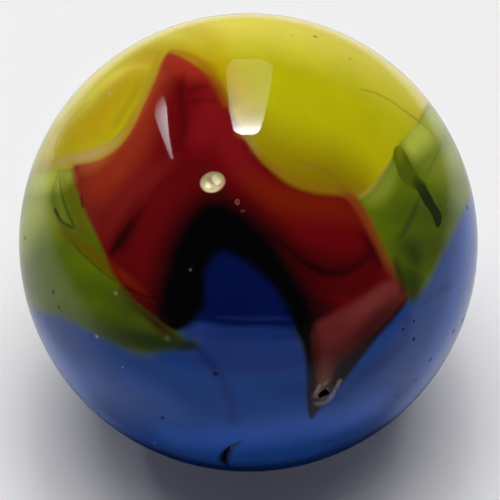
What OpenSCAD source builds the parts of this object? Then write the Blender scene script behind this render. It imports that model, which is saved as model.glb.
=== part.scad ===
// Glass marble: one solid ball of opaque coloured glasses, laid together hot
// and rolled round by machine. Yellow glass covers the top and blue the
// bottom, a green band runs between them, and a red patch with a pointed tail
// is folded over the side that is turned up, with black glass in its fold.
// Two bubbles broke open at the surface, the shears left a bent crease, and
// some small pits are scattered about.
//
// The origin is the centre of the ball, and +Z is up as the ball lies. A place
// on the ball is [out, round]: degrees out from the middle of the patterned
// side, and degrees clockwise round that middle, with 0 toward the top.

/* [Ball] */
// Diameter of the ball
ball_d = 25; // [14:0.5:50]
// How far the patterned side is turned up from level, in degrees
face_tilt = 50; // [0:5:90]

/* [Wide open bubble] */
// Length of the cup, which two joined bubbles left
cup_l = 1.35; // [1.2:0.05:2.4]
// Width of the cup
cup_w = 1.15; // [0.6:0.05:1.2]
// Depth of the cup
cup_h = 0.3; // [0.1:0.05:0.5]

/* [Deep open bubble] */
// Width of the shallow dish round the mouth
dish_w = 1.6; // [1.2:0.1:2.4]
// Depth of the dish
dish_h = 0.1; // [0.05:0.05:0.3]
// Width of the round hollow below the mouth
hollow_w = 0.8; // [0.6:0.05:1.2]
// Depth of the middle of the hollow below the ball's surface
hollow_h = 0.3; // [0.2:0.05:0.5]

/* [Crease] */
// Radius of the crease's bend
crease_r = 3.7; // [2:0.1:4.5]
// Length of the crease, along the bend
crease_l = 4.6; // [3.5:0.1:6]
// Width of the crease at its middle
crease_w = 0.35; // [0.2:0.05:0.6]
// Depth of the crease at its middle
crease_h = 0.2; // [0.1:0.05:0.3]

/* [Pits] */
// Width of a full-sized pit
pit_w = 0.35; // [0.2:0.05:0.6]
// Depth of a full-sized pit
pit_h = 0.07; // [0.04:0.01:0.15]

/* [Hidden] */

// Colours of the glasses
YELLOW_TINT = [0.80, 0.75, 0.10];
GREEN_TINT = [0.42, 0.52, 0.14];
BLUE_TINT = [0.20, 0.33, 0.66];
RED_TINT = [0.56, 0.07, 0.08];
BLACK_TINT = [0.04, 0.04, 0.05];

ball_r = ball_d / 2;
// Levels in the ball, toward the patterned side, from which the shorter
// fields of glass run out to the surface, as shares of its radius
red_floor = 0.3;
black_floor = 0.4;
fold_floor = 0.2;

// Where the flaws lie
CUP = [16, 329];
// Turn of the cup's long side away from square to the line through the middle
cup_turn = 9;
DISH = [44, 153.5];
CREASE_CENTRE = [65, 168.5];
// Each pit's place, and its size as a share of a full-sized pit
PITS = [
    [78.5, 110, 1.0], [72, 113.5, 0.7], [65.5, 123, 0.6], [52, 120.5, 0.7],
    [46.5, 119.5, 0.6], [54, 206, 0.7], [33, 194, 0.8], [56.5, 255.5, 0.7],
    [56, 353, 0.8], [65.5, 18, 0.8], [61, 29, 0.6], [9.5, 344.5, 0.9]
];

// Outline of the red patch, clockwise from the tip of its upper lobe. A corner
// that stays sharp is given twice.
RED = [
    [58, 337], [53, 341], [47, 346], [38, 350], [30, 354], [23, 0], [19, 12],
    [18, 30], [20, 48], [23, 62], [27, 66], [30, 76], [33, 90], [36, 101],
    [41, 106], [45, 109], [43, 115], [41, 124], [40, 134], [44, 143],
    [49, 152], [52, 161], [52, 161], [45, 162], [38, 159], [30, 154],
    [24, 147], [19, 138], [12, 128], [6, 110], [4, 45], [7, 340], [12, 318],
    [16, 298], [17, 275], [20, 252], [25, 234], [29, 220], [29, 234],
    [31, 248], [34, 264], [38, 272], [44, 282], [51, 294], [51, 294],
    [43, 302], [41, 314], [46, 325], [54, 332]
];
// Outline of the black glass in the fold: its inner edge, then round under
// the red patch
BLACK = [
    [27, 150], [20, 149], [14, 151], [6, 170], [5, 237], [8, 264], [11, 259],
    [14, 244], [16, 226], [22, 211], [27, 212], [29, 219], [25, 242],
    [21, 270], [17, 305], [11, 345], [9, 60], [12, 112], [18, 130], [23, 140]
];
// Outline of the blue glass inside the fold
FOLD_BLUE = [
    [31, 205], [30, 212], [30, 219], [27, 222], [22, 235], [17, 260],
    [12, 290], [6, 330], [4, 60], [8, 120], [18, 140], [26, 147], [34, 152],
    [43, 156], [46, 164], [44, 180], [40, 200]
];
// Outline of the blue glass round the bottom of the ball
BLUE = [
    [84, 254], [65, 251], [54, 247], [48, 239], [44, 230], [39, 221],
    [35, 213], [31, 205], [36, 185], [36, 165], [38, 148], [37, 135],
    [38, 124], [42, 115], [46, 110], [49, 106], [52, 97], [57, 91], [63, 85],
    [70, 79], [84, 77], [100, 78], [125, 80], [150, 90], [165, 150],
    [160, 220], [140, 245], [115, 252], [100, 254]
];
// Outline of the yellow glass over the top of the ball
YELLOW = [
    [100, 293], [125, 305], [145, 340], [145, 10], [125, 40], [100, 50],
    [84, 53], [66, 54], [57, 55], [50, 57], [45, 60], [38, 65], [32, 69],
    [27, 66], [21, 60], [17, 45], [16, 20], [20, 350], [25, 330], [38, 312],
    [41, 302], [51, 292], [58, 291], [70, 290], [84, 290]
];

// Direction from the ball's centre to a place
function ray(place) = [
    sin(place[0]) * sin(place[1]), sin(place[0]) * cos(place[1]), cos(place[0])
];

// The outline as directions, with its corners cut to round it
function rounded(outline) =
    let (rays = [for (place = outline) ray(place)], last = len(rays))
    [
        for (i = [0:last - 1], share = [0.25, 0.75])
            rays[i] * (1 - share) + rays[(i + 1) % last] * share
    ];

// Radius of the round cutter that leaves a hollow of the given width and depth
function cutter_r(width, depth) = (pow(width / 2, 2) + pow(depth, 2)) / (2 * depth);

// Puts children at a place on the patterned side: +Z points out of the ball,
// +Y away from the middle and +X clockwise round it
module at(place) {
    rotate([0, 0, -place[1]]) rotate([-place[0], 0, 0]) children();
}

module ball() {
    sphere(r = ball_r, $fn = 96);
}

// A field of glass that runs straight out from a level in the ball
module straight_field(outline, floor_share) {
    translate([0, 0, floor_share * ball_r]) linear_extrude(height = ball_r)
        polygon([for (r = rounded(outline)) ball_r * [r[0], r[1]]]);
}

// A field of glass that spreads from a point near the ball's centre, wide
// enough to wrap round the ball. The middle is a place inside its outline.
module spread_field(from, middle, outline) {
    rays = rounded(outline);
    last = len(rays);
    polyhedron(
        points = [
            from,
            3 * ball_r * ray(middle),
            for (r = rays) from + 2.4 * (ball_r * r - from)
        ],
        faces = [
            for (i = [0:last - 1])
                each [
                    [0, 2 + (i + 1) % last, 2 + i],
                    [1, 2 + i, 2 + (i + 1) % last]
                ]
        ]
    );
}

module yellow_field() {
    spread_field(ball_r * [0, -0.08, -0.04], [85, 352], YELLOW);
}

module blue_field() {
    spread_field(ball_r * [0.02, 0.2, 0.06], [90, 168], BLUE);
    straight_field(FOLD_BLUE, fold_floor);
}

// Lays the first child's glass into the glass of the second
module laid_in(tint) {
    color(tint) intersection() {
        ball();
        children(0);
    }
    difference() {
        children(1);
        children(0);
    }
}

module green_glass() {
    color(GREEN_TINT) ball();
}

module yellow_and_green() {
    laid_in(YELLOW_TINT) {
        yellow_field();
        green_glass();
    }
}

module with_blue() {
    laid_in(BLUE_TINT) {
        blue_field();
        yellow_and_green();
    }
}

module with_black() {
    laid_in(BLACK_TINT) {
        straight_field(BLACK, black_floor);
        with_blue();
    }
}

module with_red() {
    laid_in(RED_TINT) {
        straight_field(RED, red_floor);
        with_black();
    }
}

// Round cutter for a hollow of the given width and depth
module hollow(width, depth) {
    radius = cutter_r(width, depth);
    translate([0, 0, ball_r - depth + radius]) sphere(r = radius, $fn = 48);
}

// Two joined round hollows, side by side, that make an oval cup
module cup() {
    shift = (cup_l - cup_w) / 2;
    color("cornsilk") at(CUP) rotate([0, 0, cup_turn])
        for (side = [-1, 1]) translate([side * shift, 0, 0]) hollow(cup_w, cup_h);
}

// A shallow dish with a round hollow under its middle, narrower at the mouth
module deep_bubble() {
    at(DISH) {
        color("tan") hollow(dish_w, dish_h);
        color(BLACK_TINT) translate([0, 0, ball_r - hollow_h])
            sphere(d = hollow_w, $fn = 48);
    }
}

// A ring with a sharp lower edge, tipped so that one side dips into the ball:
// it cuts deepest at the middle of the crease and runs out at both ends
module crease() {
    half_turn = crease_l / 2 / crease_r * 180 / PI;
    dip = crease_h / (1 - cos(half_turn));
    level = sqrt(pow(ball_r, 2) - pow(crease_r, 2) + pow(dip, 2)) + dip - crease_h;
    rise = 4 * crease_h;
    flare = crease_w / 2 * rise / crease_h;
    color("midnightblue") at(CREASE_CENTRE) translate([0, 0, level])
        rotate([0, asin(dip / crease_r), 0]) rotate_extrude($fn = 96)
            polygon([
                [crease_r, 0],
                [crease_r + flare, rise],
                [crease_r - flare, rise]
            ]);
}

module pits() {
    color("dimgray") for (pit = PITS) at(pit) hollow(pit_w * pit[2], pit_h * pit[2]);
}

module marble() {
    rotate([90 - face_tilt, 0, 0]) difference() {
        with_red();
        cup();
        deep_bubble();
        crease();
        pits();
    }
}

marble();
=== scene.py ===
"""Dresses the glass marble: one ball of laid-in coloured glasses, on a plain pale floor.

A place on the ball is (out, round): degrees out from the middle of the patterned side, and
degrees clockwise round that middle, with 0 toward the top.
"""

import math

import bmesh
import bpy
import numpy as np
from bpy.props import FloatProperty, FloatVectorProperty, IntProperty, PointerProperty
from mathutils import Matrix, Vector


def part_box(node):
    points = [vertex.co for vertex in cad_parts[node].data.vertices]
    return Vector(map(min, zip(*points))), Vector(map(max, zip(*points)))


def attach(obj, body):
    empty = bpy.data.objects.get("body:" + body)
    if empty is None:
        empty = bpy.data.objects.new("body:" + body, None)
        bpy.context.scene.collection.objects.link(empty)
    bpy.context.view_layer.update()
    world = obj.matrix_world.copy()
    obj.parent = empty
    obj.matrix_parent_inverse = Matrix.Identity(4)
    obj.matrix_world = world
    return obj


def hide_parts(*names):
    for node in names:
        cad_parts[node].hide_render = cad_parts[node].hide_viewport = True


bl_info = {
    "name": "Glass Marble",
    "version": (1, 0, 0),
    "blender": (4, 5, 0),
    "location": "3D View > Sidebar > Marble",
    "description": "Builds a glass marble of laid-in coloured glasses",
    "category": "Add Mesh",
}

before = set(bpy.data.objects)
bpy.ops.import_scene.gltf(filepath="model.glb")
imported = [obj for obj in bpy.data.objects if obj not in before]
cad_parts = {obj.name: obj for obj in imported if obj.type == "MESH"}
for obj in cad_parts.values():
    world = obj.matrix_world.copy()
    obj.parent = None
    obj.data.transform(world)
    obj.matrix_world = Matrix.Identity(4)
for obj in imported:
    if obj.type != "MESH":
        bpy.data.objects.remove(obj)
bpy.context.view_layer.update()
NODE = "marble"
LOW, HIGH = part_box(NODE)


# ---- stage

# The camera: its sensor's width in millimetres, its focal length in points of a view that is VIEW
# points wide, how many points it aims to the right of the ball's middle and below it, and its
# rise in degrees and distance in metres
SENSOR = 36
VIEW = 500
FOCAL_POINTS = 2282
AIM_RIGHT, AIM_DOWN = 1.6, 7.5
CAMERA_RISE, CAMERA_DISTANCE = 49.7, 0.125

# The floor, in metres: radius of each ring and its share of the edge's height. The edge rises by
# so many degrees, seen from the middle, in front and behind.
FLOOR_SECTION = [
    (0, 0), (0.05, 0), (0.1, 0), (0.2, 0), (0.3, 0), (0.34, 0.1), (0.37, 0.3), (0.39, 0.6), (0.4, 1)]
FLOOR_RADIUS = FLOOR_SECTION[-1][0]
FLOOR_TURNS = 96
FRONT_RISE, BACK_RISE, RISE_EASE = 8, 30, 1.3

# The glowing panels, as rungs of a ladder: two directions from the ball (right, back, up), and
# the glow at each
OVERHEAD_PANEL = [
    ((-0.05, 0.212, 0.976), (0.03, 0.212, 0.976), 26, 26),
    ((-0.082, 0.228, 0.972), (0.062, 0.228, 0.972), 26, 26),
    ((-0.108, 0.256, 0.966), (0.083, 0.256, 0.966), 22, 24),
    ((-0.114, 0.294, 0.95), (0.094, 0.294, 0.95), 13, 13),
    ((-0.119, 0.33, 0.944), (0.1, 0.33, 0.944), 9.5, 9),
    ((-0.126, 0.385, 0.923), (0.113, 0.385, 0.923), 6.5, 4.6),
    ((-0.133, 0.441, 0.898), (0.12, 0.441, 0.898), 4.4, 2.6),
    ((-0.134, 0.553, 0.833), (0.134, 0.553, 0.833), 2.4, 1.5),
    ((-0.133, 0.643, 0.757), (0.14, 0.643, 0.757), 1.5, 1.2),
    ((-0.13, 0.765, 0.637), (0.144, 0.765, 0.637), 0.9, 0.9),
    ((-0.112, 0.834, 0.552), (0.127, 0.834, 0.552), 0.8, 0.8),
    ((-0.09, 0.86, 0.5), (0.09, 0.86, 0.5), 0.8, 0.8)]
SIDE_PANEL = [
    ((-0.565, 0.11, 0.817), (-0.55, 0.1, 0.828), 3, 5),
    ((-0.58, 0.205, 0.79), (-0.552, 0.195, 0.81), 4, 7),
    ((-0.59, 0.318, 0.742), (-0.55, 0.3, 0.78), 4.5, 8),
    ((-0.593, 0.442, 0.673), (-0.537, 0.417, 0.733), 3.5, 8.5),
    ((-0.59, 0.51, 0.625), (-0.527, 0.48, 0.7), 2, 8.5),
    ((-0.57, 0.577, 0.583), (-0.514, 0.551, 0.657), 1, 7),
    ((-0.545, 0.63, 0.553), (-0.507, 0.612, 0.607), 0.4, 3.5),
    ((-0.52, 0.672, 0.53), (-0.5, 0.668, 0.55), 0, 0.3)]

# ---- fields of glass

# Outlines of the fields, clockwise, as places. A corner that stays sharp is given twice.
OUTLINES = {
    # the yellow over the top
    "yellow": [
        (77, 288), (65.5, 289), (59.5, 290.5), (53, 292), (44, 297), (35, 310), (26, 330), (20, 350),
        (16, 20), (16, 40), (19, 56), (23, 63), (27, 69), (30, 69.5), (32.5, 67), (36.5, 63.5), (41.5, 60.5),
        (45.5, 57.5), (51.5, 56), (59.5, 55), (68.5, 53), (77, 52.5), (100, 50), (125, 40), (145, 10),
        (145, 340), (125, 305), (100, 293)],
    # the blue round the bottom
    "blue": [
        (84, 254), (75, 253.5), (67.5, 252), (58, 249), (52, 244.5), (47.5, 239.5), (44, 233.5), (41, 227),
        (38, 221.5), (34.5, 218), (31.5, 213), (29, 207.5), (27, 205.5), (27, 210), (27.5, 215), (26, 220),
        (20, 222), (14, 211.5), (10, 191), (12, 162.5), (19, 151), (25, 150), (33, 152), (39, 152),
        (39, 140), (38, 127), (40, 117), (43, 110.5), (46.5, 110.5), (48.5, 105.5), (51, 98.5), (55, 91.5),
        (60, 86.5), (67, 81), (77, 78), (90, 77), (105, 78), (125, 80), (150, 90), (165, 150), (160, 220),
        (140, 245), (115, 252), (100, 254)],
    # the red patch and its tongue
    "red": [
        (59.5, 337), (56, 339.5), (51, 342.5), (46, 346), (41, 350), (36, 351.7), (30, 353), (25.5, 357.5),
        (21.5, 4), (17.5, 17), (16, 34), (18, 51), (22, 60), (25.5, 65), (27, 71), (29.5, 84), (33, 96),
        (37.5, 103.5), (42, 107), (44, 110), (42, 119), (40.5, 128), (41.5, 138), (44, 147.5), (50, 160),
        (50, 160), (44, 159.5), (36, 155.5), (29, 152), (24, 150), (18, 147), (12, 148), (6, 160), (4, 200),
        (5, 260), (9, 258), (14, 243), (20, 232), (24, 217), (28.3, 219), (29.5, 233.5), (31.5, 244),
        (34, 256), (35.5, 265), (38, 272.5), (43, 281), (49, 289), (53, 294.5), (53, 294.5), (49.5, 296),
        (45, 298), (41.8, 302.5), (40.5, 309.5), (42.5, 317.5), (46, 324), (50, 329.5), (55, 333.5)],
    # the black fold
    "fold": [
        (27.3, 221), (25.5, 228), (24, 233), (22, 238), (18.5, 247), (17, 256.5), (15, 268), (13.5, 282),
        (12.5, 296), (11.5, 311), (8.5, 323), (5, 338), (2.5, 20), (4, 95), (8, 124), (12.5, 133),
        (17.5, 137), (22, 139.5), (24.5, 144), (27, 149), (26, 152), (23, 153.5), (20, 158), (18.5, 170),
        (18.5, 185), (19, 201), (20.5, 209), (23, 213), (25.5, 216)],
    # the blue inside the fold
    "fold_blue": [
        (21.9, 215), (20.8, 214.7), (18.3, 213.5), (16.8, 215.3), (15, 223.5), (12.6, 231.5), (10.8, 240),
        (8.5, 250), (5.5, 252), (4, 215), (5, 176), (8.5, 158), (13.5, 150), (18.5, 151), (23, 151),
        (22.3, 156), (20.8, 166), (20, 179), (20.6, 192), (21.3, 203)],
    # the dark streak in the green
    "streak": [
        (45, 57), (43, 59.5), (42.5, 62), (41.7, 65.5), (42, 68.5), (44, 71.5), (46, 73), (46.5, 75.5),
        (47, 77.5), (49, 80.5), (50, 83.5), (50.5, 85.5), (51.5, 86), (53, 84.5), (53.7, 82.5), (53, 80.5),
        (51.5, 78.5), (51, 76.5), (50, 74), (50, 71.5), (48.5, 70), (48, 68), (47.5, 65), (47.5, 62),
        (47.5, 59.5), (47, 57.5)],
    # darker red inside the hazy fold line that runs down to the left
    "inner": [
        (24, 322), (24.5, 312), (25, 304), (26, 296), (26.5, 289.5), (27.5, 284), (29, 278.5), (30.5, 273.5),
        (32.5, 269), (34.5, 265), (35.5, 262), (34, 252), (31, 240), (29, 222), (20, 215), (10, 240),
        (6, 290), (9, 325), (14, 338), (19, 336), (22.5, 330)],
    # smoky glass over the tongue, with a painted reflection of a pale pinkish haze over it
    "dusk_and_reflection": [
        (26.2, 145.5), (24.8, 141), (25.9, 132), (28, 124), (30.4, 116.5), (33.3, 109.5), (35.1, 106.3),
        (37.5, 105), (40.3, 106), (42.5, 109), (43.5, 112), (43, 116), (41.5, 122), (40.5, 131), (41, 140),
        (42.5, 145), (45, 151), (49, 158), (43.5, 158), (36.5, 155), (30, 151.5), (27.5, 149.3)],
}

# Threads and clouds of glass. Each trail is a row of places with a half width in degrees and a
# strength; a trail of one place is a round cloud. The number before the trails is how much of
# the half width is covered in full.
TRAILS = {
    # tan seam squeezed up between the red and the yellow
    "tan": (0.3, [
        [(61, 335, 1.4, 0.3), (56, 332.5, 1.7, 0.4), (52, 330, 1.8, 0.5), (47, 324.3, 1.9, 0.6),
         (44.3, 319, 1.9, 0.75), (42.1, 313, 2, 0.9), (41.8, 308, 2.2, 0.9), (43, 303, 2.3, 0.9),
         (46.2, 299, 2.3, 0.85), (50, 296.5, 2.2, 0.8), (54, 294, 1.8, 0.7)]]),
    # the same seam along the lower edge of the yellow
    "seam": (0.1, [
        [(25.5, 354, 1, 0.3), (24, 0.5, 1.2, 0.6), (22, 3, 1.3, 0.9), (19.5, 9.5, 1.35, 0.95),
         (18, 18, 1.35, 0.95), (17.6, 31.5, 1.35, 0.95), (18.7, 46, 1.35, 0.95), (21.7, 55, 1.3, 0.95),
         (25.6, 60.5, 1.2, 0.9), (27.5, 65, 1, 0.7), (29, 68, 0.9, 0.5)]]),
    # cream parts of the seams
    "cream": (0.1, [
        [(42, 311, 1.4, 0.2), (42.7, 305.5, 2.2, 0.6), (44.8, 301, 2.7, 0.85), (48.3, 298, 2.7, 0.9),
         (52.5, 295.5, 2.5, 0.8), (57, 293.5, 2.4, 0.7), (62, 291.5, 2.4, 0.6), (68, 290, 3, 0.5),
         (76, 287.5, 5, 0.3)],
        [(25.5, 357, 1, 0.3), (23, 2, 1.2, 0.35), (20.5, 7, 1, 0.2)],
        [(29, 68, 1, 0.3), (32.5, 67, 1.1, 0.4), (36.5, 64, 1, 0.35), (41, 61, 0.9, 0.25)]]),
    # brown-pink glass down the right edge of the red patch
    "rose": (0.25, [
        [(25, 60, 1.6, 0.4), (26.3, 65.5, 1.8, 0.9), (27.2, 70.5, 1.9, 0.9), (28.2, 77, 1.9, 0.85),
         (29.4, 83.5, 1.9, 0.8), (31, 90, 1.9, 0.7), (33, 96, 1.9, 0.65), (35.4, 101, 1.8, 0.6),
         (37.5, 104.5, 1.4, 0.4)]]),
    # rust-coloured haze where the red thins out over the yellow
    "rust": (0, [
        [(59, 338, 1.6, 0.5), (55, 341.5, 2, 0.7), (50.5, 344.5, 2.3, 0.8), (46, 347, 2.4, 0.8),
         (40, 349.5, 2, 0.6), (34, 351, 1.6, 0.4)]]),
    # brick-coloured glass over the outer side of the red patch
    "brick": (0, [
        [(58, 336, 6, 1), (52, 338, 7, 1), (46, 342, 5, 0.6)],
        [(50, 333, 6, 1), (46, 328, 6, 0.95), (42, 321, 7, 0.95), (38, 312, 9, 1), (37.5, 303, 11, 1),
         (40, 292, 12, 1), (44, 286, 9, 0.95), (41, 279, 6, 0.4)]]),
    # hazier, paler red along its outer edge
    "flush": (0, [
        [(56, 335, 2.4, 0.4), (51, 331, 2.6, 0.6), (46.5, 325, 2.8, 0.8), (43, 318, 3, 0.8),
         (41.3, 311, 3.2, 0.8), (42, 304, 4, 0.9), (44, 297, 4, 0.9), (48, 294, 3.5, 0.6)],
        [(57, 338, 4, 0.5), (52, 340.5, 4, 0.4), (47, 343, 3, 0.3)],
        [(51.5, 293, 2, 0.7), (49, 290, 2.5, 0.6)], [(36, 298, 3, 0.15)]]),
    # rosier red between the brick and the hazy fold line
    "rosy": (0, [
        [(26.5, 314, 4, 0.4), (27.5, 306, 4.5, 0.8), (29, 298, 5, 0.9), (30, 290, 5.5, 0.9),
         (31.5, 283.5, 6, 0.9), (33.5, 278, 5.5, 0.9), (35.5, 272, 4, 0.7)],
        [(44, 284, 5, 0.5), (41, 281, 5, 0.7), (38, 276, 5, 0.9)]]),
    # the clearest red, at the tip
    "scarlet": (0, [
        [(55.5, 337, 4, 0.5), (51, 338.5, 5, 0.9), (46, 343, 4.5, 0.7), (42, 347, 3.5, 0.4)]]),
    # crisp crease in the red on the right
    "wrinkle": (0, [
        [(4.7, 41, 0.6, 0.2), (6.3, 83, 0.9, 0.6), (10, 103, 1.1, 0.8), (13.3, 110, 1.3, 0.9),
         (16.5, 112, 1.7, 0.95), (19.5, 112, 1.8, 0.95), (21.8, 109.8, 1.8, 0.75), (24.5, 107, 1.9, 0.5),
         (26.5, 101.5, 1.8, 0.5), (29.5, 97, 1.2, 0.2)]]),
    # brown haze above the deep hollow
    "umber": (0, [
        [(35.5, 147.5, 3.5, 0.3), (37.8, 149.5, 4, 0.6), (39.8, 151.5, 3.4, 0.9), (42, 155.5, 1.6, 0.6)]]),
    # clear crimson in the middle of the patch
    "crimson": (0, [
        [(42, 346, 4, 0.6), (37, 346, 6, 1), (31, 343, 7, 1), (28, 337, 7, 1)],
        [(31, 345, 6, 0.9), (25, 348, 6, 0.9), (20, 352, 6, 0.9), (16, 357, 5, 0.9), (14, 5, 4, 0.6)]]),
    # warm glow under the cream seam
    "glow": (0, [
        [(15, 358, 4, 0.5), (13, 10, 5, 0.9), (12, 25, 6, 1), (13, 45, 7, 1), (16, 57, 7, 1),
         (21, 67, 6, 0.9), (26, 76, 5, 0.6), (28, 83, 3, 0.4)],
        [(33, 351, 3, 0.5), (38, 348, 3, 0.5)]]),
    # smoky brick at the top of the tongue, partly a painted reflection of a bright band
    "dusk_and_reflection": (0, [
        [(39, 106.5, 3, 0.7), (36.5, 109, 3.2, 0.8), (34, 115, 3, 0.8), (32, 121.5, 3, 0.8),
         (30.5, 129, 2.5, 0.4)]]),
    # deep maroon in the folds of the red patch
    "maroon": (0, [
        [(6, 75, 3, 0.3), (9, 97, 4, 0.5), (13, 107, 5.5, 0.65), (17.5, 110, 6.5, 0.7), (22, 108, 6, 0.65),
         (26, 103, 5, 0.6), (29, 97, 4, 0.6)],
        [(9, 108, 3, 0.3), (14, 118, 4, 0.5), (20, 121, 4.5, 0.5), (25, 117, 4, 0.5), (29, 110, 3.5, 0.5),
         (32, 104, 2.5, 0.4)],
        [(30, 104, 3, 0.5)], [(11, 96, 2.5, 0.4), (14, 103, 2.5, 0.3)],
        [(26.5, 84, 2, 0.3), (28.8, 90, 2.4, 0.8), (30.3, 95, 2.6, 0.95), (32.3, 100, 2, 0.8)],
        [(22, 134, 2.5, 0.6), (25, 126, 2.5, 0.4)],
        [(48, 339, 1, 0.2), (44, 337, 1.6, 0.4), (40, 335, 1.8, 0.5), (36, 333, 2, 0.5), (31, 330, 2.4, 0.5),
         (28, 324, 2.5, 0.3)],
        [(40, 336.5, 1, 0.2), (41, 340, 1.2, 0.4), (41, 346, 1, 0.25)],
        [(37.5, 334, 1, 0.2), (37.5, 338.5, 1.4, 0.4), (35.5, 347.5, 1.2, 0.25)],
        [(28, 292, 2, 0.2), (28.5, 284, 3, 0.4), (29, 277, 4, 0.6), (30.5, 270, 4, 0.7)],
        [(28, 152, 1.6, 0.7), (32, 153.5, 2.2, 1), (36, 154.5, 2.4, 1)]]),
    # the tongue darkening toward its edges and its tip
    "dim": (0, [
        [(40.5, 113, 3, 0.4), (38.5, 119, 4, 0.6), (37, 127, 4.5, 0.7), (36, 135, 4, 0.5)],
        [(40, 118, 4, 0.4), (41, 126, 7, 0.8), (40.5, 134, 9, 0.95), (40.5, 142, 10.5, 1),
         (40, 150, 10.5, 1)],
        [(23, 143, 3, 0.6), (27, 147, 4, 0.6), (31, 151, 5, 0.8), (36, 154, 5, 1)],
        [(21, 138, 3, 0.6), (25, 131, 2.4, 0.4)]]),
    # almost black red along the hazy fold and in its lower corner
    "smoke": (0, [
        [(25.5, 290, 0.8, 0.2), (27, 281, 1.5, 0.4), (29.3, 274.5, 2, 0.6), (31.5, 269, 2, 0.75),
         (33.3, 265.5, 1.5, 0.75)],
        [(34, 250, 0.6, 0.3), (31, 249, 0.7, 0.6), (29, 244.5, 0.8, 0.6), (27, 240, 0.9, 0.6),
         (25, 235.6, 1, 0.4)],
        [(29, 225, 2, 0.7), (27, 228, 2, 0.7), (25, 236, 1.5, 0.3)],
        [(31, 153.5, 1.2, 0.6), (36, 154.5, 1.8, 0.9), (40, 156, 2, 1), (43, 158, 2.4, 1), (47, 159, 2.2, 1),
         (50, 160, 1.6, 1)],
        [(43.8, 111, 2.4, 0.85), (42.5, 116, 3, 1), (41.6, 122, 3.4, 1), (40.7, 129, 4, 1),
         (40.3, 136, 4.4, 1), (41, 143, 4, 1), (44, 149, 3.4, 1), (47.5, 155, 3, 1), (50, 159, 2, 1)],
        [(45.5, 157, 2.6, 1), (47.5, 157.5, 2.6, 1), (50, 160, 2, 1)]]),
    # bright red band on the lower left edge of the red patch
    "ember": (0.1, [
        [(35.5, 264.5, 0.8, 0.3), (33, 258.5, 1.8, 0.7), (31, 253.5, 2.2, 0.8), (29.3, 248.5, 2, 0.6),
         (28, 243.3, 1.6, 0.4), (26.5, 237.5, 1, 0.2)]]),
    # brown glass where the red thins out over the green
    "brown": (0, [
        [(33, 249, 1.8, 0.4), (31.5, 240, 2.4, 0.6), (30, 232, 2.6, 0.9), (29.5, 226, 2.4, 1),
         (29, 219, 2, 0.7)],
        [(36.5, 97, 1.6, 0.4), (38.5, 102, 2, 0.7), (41, 107, 2.2, 0.6)]]),
    # amber strip between the red and the green
    "amber": (0, [
        [(54, 279, 1, 0.2), (51, 275.5, 2, 0.5), (48, 272.5, 2.6, 0.7), (43.5, 269, 3, 0.9),
         (39, 265.5, 3, 1), (35.5, 260, 2.6, 1), (33, 252.5, 2, 0.7), (31.5, 246, 1.2, 0.4)],
        [(55, 289, 3, 0.4), (51, 287, 3.5, 0.5), (46, 281, 3, 0.5), (41, 273, 2, 0.7)],
        [(44, 60, 2, 0.5), (46, 60, 2.5, 0.6)]]),
    # pale green toward the rim, partly a painted reflection of the pale surroundings mirrored there
    "pale_green_and_reflection": (0, [
        [(88, 290, 13, 1), (78, 288, 12, 1), (70, 286, 10, 1), (64, 286, 8, 0.9), (58, 288, 6.5, 0.85),
         (52.5, 289, 4.2, 0.65)],
        [(90, 274, 18, 1), (78, 276, 16, 0.85), (68, 277, 13, 0.75), (61, 279, 10, 0.55),
         (54, 276, 8, 0.25)],
        [(90, 258, 14, 0.6)], [(76, 56, 11, 0.85), (66, 57, 9, 0.8), (58, 58, 8, 0.85), (51, 59.5, 6, 0.8)],
        [(80, 66, 12, 0.65), (70, 67, 11, 0.5), (61, 68, 9, 0.35), (54, 68, 7, 0.15)],
        [(80, 77, 10, 0.4), (68, 76, 9, 0.25), (59, 76, 8, 0.05)],
        [(31, 71, 3, 0.2), (33, 71, 4, 0.3), (37, 68, 4, 0.3), (42, 63, 3, 0.2)]]),
    # darker green, away from the light
    "moss": (0, [
        [(60, 250, 5, 0.4), (54, 247, 7, 0.6), (48, 243, 8, 0.9), (42, 238, 8, 1), (38, 231, 7, 1),
         (34, 223, 6, 1), (30, 213, 5, 1)],
        [(45, 254, 6, 0.5), (40, 253, 5, 0.6), (36, 248, 5, 0.8), (33, 241, 5, 0.9)],
        [(34, 82, 7, 0.5), (42, 81, 9, 0.9), (50, 82, 9, 0.85), (58, 83, 8, 0.65)],
        [(35, 92, 7, 0.5), (40, 92, 10, 0.9), (46, 92, 11, 1), (52, 92, 9, 0.9)],
        [(38, 101, 7, 1), (43, 103, 7, 1), (46, 109, 6, 1)]]),
    # deep green clouds and lines
    "deep_green": (0, [
        [(57, 290, 1.4, 0.2), (57, 285, 2, 0.4), (55, 281, 2.4, 0.4), (52.5, 279, 2, 0.3)],
        [(43, 274, 3, 0.3), (39.5, 270, 3, 0.3), (36, 266, 2, 0.2)],
        [(46, 238, 5, 0.4), (42, 234, 6, 0.7), (37, 229, 6, 0.95), (34, 224, 6, 1), (31.5, 217, 5, 1),
         (28, 210, 5, 1)],
        [(38.5, 243, 5, 0.2), (35.3, 236.5, 5, 0.45), (32, 228, 4, 0.4)],
        [(38.5, 90, 3.5, 0.3), (41.3, 93, 4.2, 0.75), (43.3, 96, 4.2, 0.7)],
        [(43.5, 103, 6, 0.6), (45.5, 109, 4.5, 0.8)],
        [(42.5, 90.5, 2, 0.3), (44, 93, 2.4, 0.5), (42, 95.5, 2, 0.4)],
        [(46, 76, 0.8, 0.5), (44, 78.6, 1, 0.7), (41.6, 82, 1.2, 0.7), (39.5, 86, 1.5, 0.7),
         (37.7, 89, 1.8, 0.5)],
        [(64, 63.5, 0.6, 0.15), (57.5, 66.3, 0.8, 0.3), (52, 68.8, 0.7, 0.3)]]),
    # thin dark threads
    "dark": (0, [
        [(55.5, 288.5, 0.4, 0.4), (51.5, 283, 0.6, 0.6), (48, 278.5, 0.6, 0.7), (45, 274.5, 0.6, 0.6)],
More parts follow.
